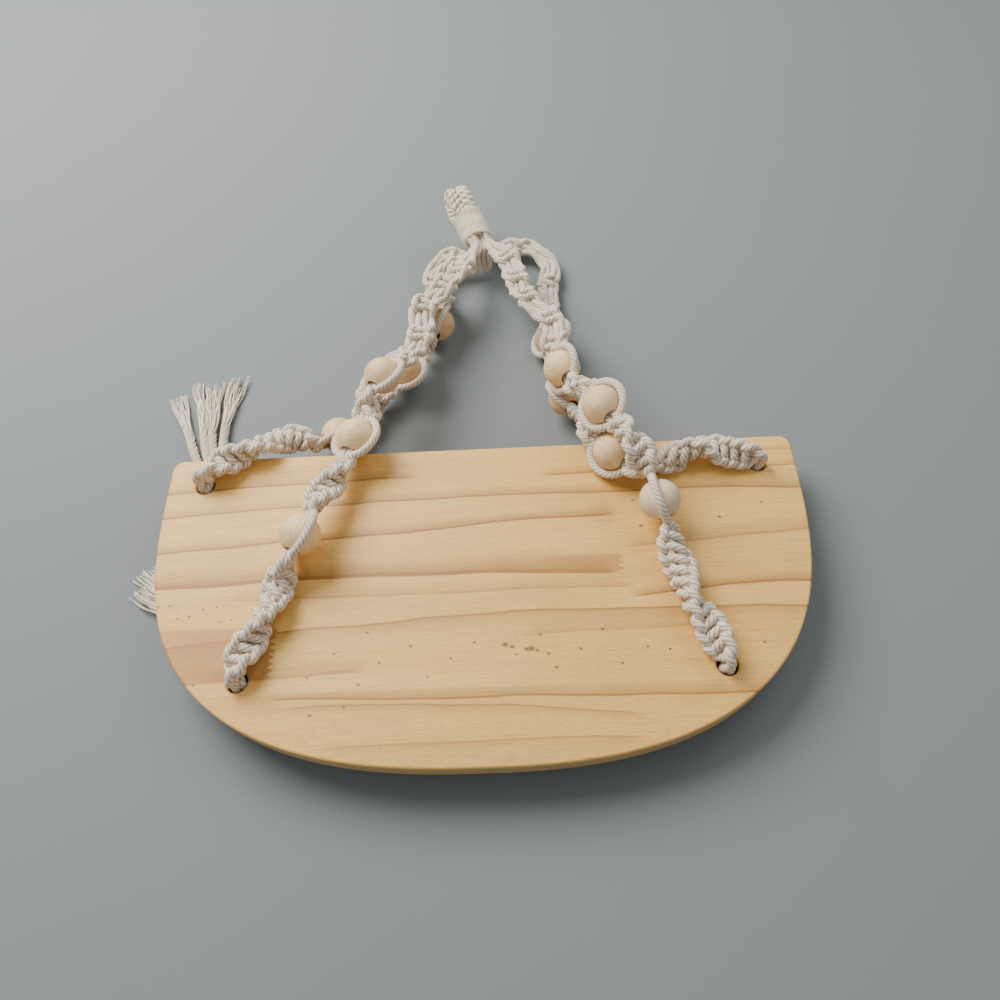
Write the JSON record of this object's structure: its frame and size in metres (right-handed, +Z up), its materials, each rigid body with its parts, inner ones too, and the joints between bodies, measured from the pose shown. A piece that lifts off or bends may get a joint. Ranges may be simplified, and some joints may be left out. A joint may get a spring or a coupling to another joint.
{
  "type": "macrame wall shelf",
  "caption": "Half-round wooden hanging shelf on knotted macrame arms with round beads and a whipped neck, laid flat with its arms folded back.",
  "frame": {"origin": "middle of the laid shelf's outer box, on the table", "axes": "+Z up from the table, +Y from the board's curved front edge to its straight rear edge and on to the hanging loop, +X to the right along the straight edge"},
  "size_m": [0.4298, 0.451, 0.0734],
  "materials": {
    "board": "satin",
    "bead": "matte",
    "cord": "matte",
    "fine_cord": "matte"
  },
  "bodies": {
    "root": {"board": "board", "arm_fl": "cord", "arm_fr": "cord", "arm_rl": "cord", "arm_rr": "cord", "bead_fl_1": "bead", "bead_fl_2": "bead", "bead_fl_3": "bead", "bead_fr_1": "bead", "bead_fr_2": "bead", "bead_fr_3": "bead", "bead_rl_1": "bead", "bead_rl_2": "bead", "bead_rl_3": "bead", "bead_rr_1": "bead", "bead_rr_2": "bead", "bead_rr_3": "bead", "tassel_fl": "cord", "tassel_fr": "cord", "tassel_rl": "cord", "tassel_rr": "cord", "whipping": "fine_cord", "hanging_loop": "fine_cord"}
  },
  "joints": []
}
